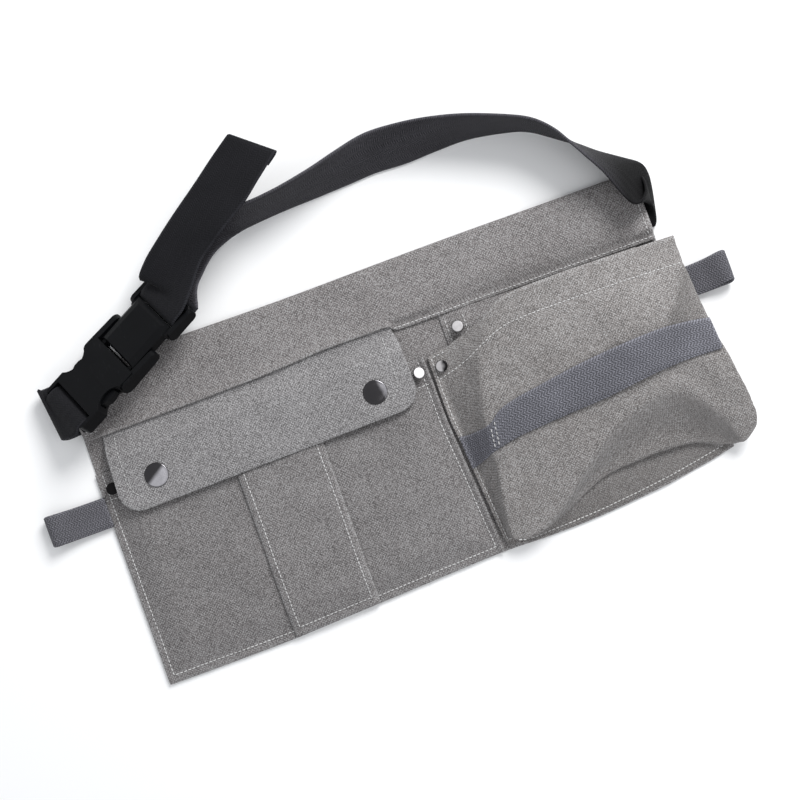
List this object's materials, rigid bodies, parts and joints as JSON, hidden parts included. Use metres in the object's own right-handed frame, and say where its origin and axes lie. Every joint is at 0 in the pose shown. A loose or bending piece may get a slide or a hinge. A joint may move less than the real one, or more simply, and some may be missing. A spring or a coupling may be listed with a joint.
{
  "type": "tool belt",
  "caption": "Canvas waist tool belt with a flat riveted pocket under a snap-down flap, a bellows pouch, webbing loops and a webbing belt with a side-release buckle.",
  "frame": {"origin": "on the rear face of the back panel, at the middle of the panel and waistband, with the belt lying on its back", "axes": "+X along the waist from the buckle end to the pouch end, +Y up towards the waistband, +Z out of the front of the pockets"},
  "size_m": [0.511, 0.3397, 0.046],
  "materials": {
    "canvas": "heavy grey cotton canvas, visible plain weave, washed and slightly mottled",
    "flap_canvas": "the same canvas on its paler face, plain weave",
    "grey_webbing": "bluish grey herringbone cotton webbing, matt",
    "black_webbing": "black ribbed webbing, matt with a slight sheen",
    "buckle_plastic": "black moulded acetal, satin",
    "snap_metal": "dark gunmetal, polished domes",
    "rivet_metal": "nickel-plated, satin"
  },
  "bodies": {
    "root": {"back_panel": "canvas", "waistband": "canvas", "left_pocket": "canvas", "centre_strip": "canvas", "snap_studs": "snap_metal", "snap_posts": "snap_metal", "inner_pocket": "canvas", "pouch_front": "canvas", "pouch_gusset": "canvas", "pouch_band": "grey_webbing", "strap_in_band": "black_webbing", "strap_stub": "black_webbing", "strap_arc": "black_webbing", "strap_tail": "black_webbing", "buckle_female": "buckle_plastic", "buckle_male": "buckle_plastic", "rivet_caps": "rivet_metal", "rivet_backs": "rivet_metal"},
    "flap_body": {"flap": "flap_canvas", "flap_lining": "canvas", "snap_caps": "snap_metal", "snap_sockets": "snap_metal"},
    "left_loop_body": {"left_loop": "grey_webbing"},
    "right_loop_body": {"right_loop": "grey_webbing"},
    "prong_left_body": {"prong_left": "buckle_plastic"},
    "prong_right_body": {"prong_right": "buckle_plastic"}
  },
  "joints": [
    {"name": "flap_hinge", "type": "hinge", "parent": "root", "child": "flap_body", "pos_m": [-0.0925, 0.0652, 0.0044], "axis": [-1, 0, 0], "range_deg": [0, 80]},
    {"name": "left_loop_hinge", "type": "hinge", "parent": "root", "child": "left_loop_body", "pos_m": [-0.215, 0.0145, 0.0018], "axis": [0, 1, 0], "range_deg": [0, 90], "stiffness_Nm_per_rad": 0.004},
    {"name": "right_loop_hinge", "type": "hinge", "parent": "root", "child": "right_loop_body", "pos_m": [0.215, 0.0285, 0.0018], "axis": [0, -1, 0], "range_deg": [0, 45], "stiffness_Nm_per_rad": 0.004},
    {"name": "prong_left_squeeze", "type": "hinge", "parent": "root", "child": "prong_left_body", "pos_m": [-0.16667, 0.12735, 0.01512], "axis": [-0.2204, 0.4145, 0.8829], "range_deg": [0, 7], "stiffness_Nm_per_rad": 0.4},
    {"name": "prong_right_squeeze", "type": "hinge", "parent": "root", "child": "prong_right_body", "pos_m": [-0.15382, 0.10318, 0.02968], "axis": [0.2204, -0.4145, -0.8829], "range_deg": [0, 7], "stiffness_Nm_per_rad": 0.4}
  ]
}
